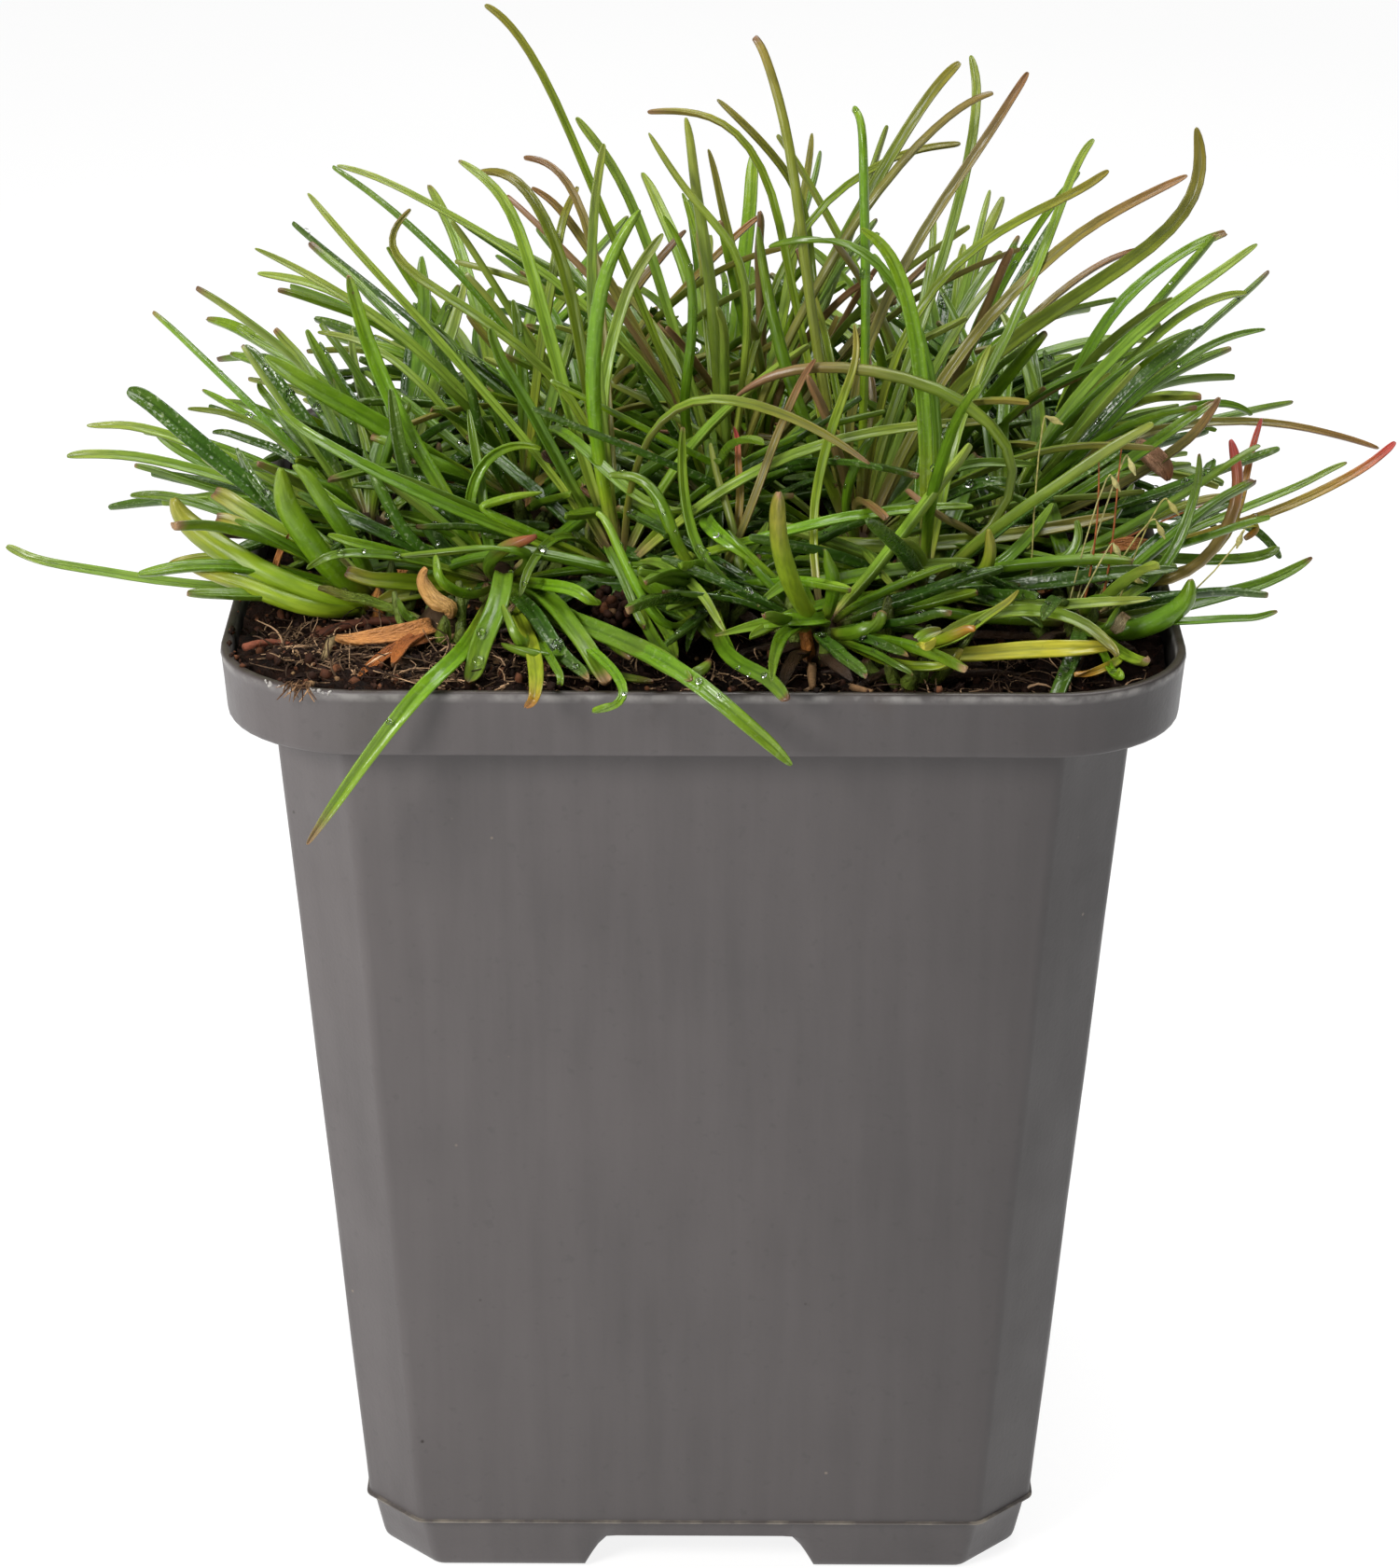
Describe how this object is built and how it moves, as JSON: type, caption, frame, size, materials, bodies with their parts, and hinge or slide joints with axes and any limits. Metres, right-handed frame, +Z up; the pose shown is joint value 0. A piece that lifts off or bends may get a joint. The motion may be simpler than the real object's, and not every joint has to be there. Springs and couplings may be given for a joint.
{
  "type": "potted sea thrift",
  "caption": "Tufts of narrow strap-shaped leaves growing as a loose cushion from soil in a square tapered nursery pot with a stepped collar rim and notched feet.",
  "frame": {"origin": "middle of the pot's foot, on the surface that it stands on", "axes": "+Z up out of the pot, -Y towards the side that the picture shows as the front, +X to the right of it"},
  "size_m": [0.134, 0.1146, 0.1535],
  "materials": {
    "pot": "satin mid-grey",
    "peat": "crumbly dark brown peat",
    "green_leaf": "smooth, slightly waxy",
    "olive_leaf": "smooth, slightly waxy",
    "reddened_leaf": "smooth, slightly waxy",
    "yellow_leaf": "smooth",
    "withered_leaf": "dry"
  },
  "bodies": {
    "root": {"pot": "pot", "soil": "peat", "tuft_left_front": "green_leaf", "tuft_left": "green_leaf", "tuft_front_left": "green_leaf", "tuft_middle_front": "green_leaf", "tuft_centre": "olive_leaf", "tuft_centre_left": "green_leaf", "tuft_centre_right": "olive_leaf", "tuft_front_right": "green_leaf", "tuft_front_middle": "green_leaf", "tuft_right_front": "green_leaf", "tuft_corner_right": "green_leaf", "tuft_reddening": "reddened_leaf", "tuft_right": "green_leaf", "tuft_yellowing": "yellow_leaf", "tuft_withered": "withered_leaf", "tuft_back_left": "green_leaf", "tuft_middle_left": "olive_leaf", "tuft_middle_back": "olive_leaf", "tuft_middle_right": "olive_leaf", "tuft_back_right": "green_leaf", "tuft_corner_left": "green_leaf", "tuft_back": "green_leaf", "tuft_corner_back": "green_leaf"}
  },
  "joints": []
}
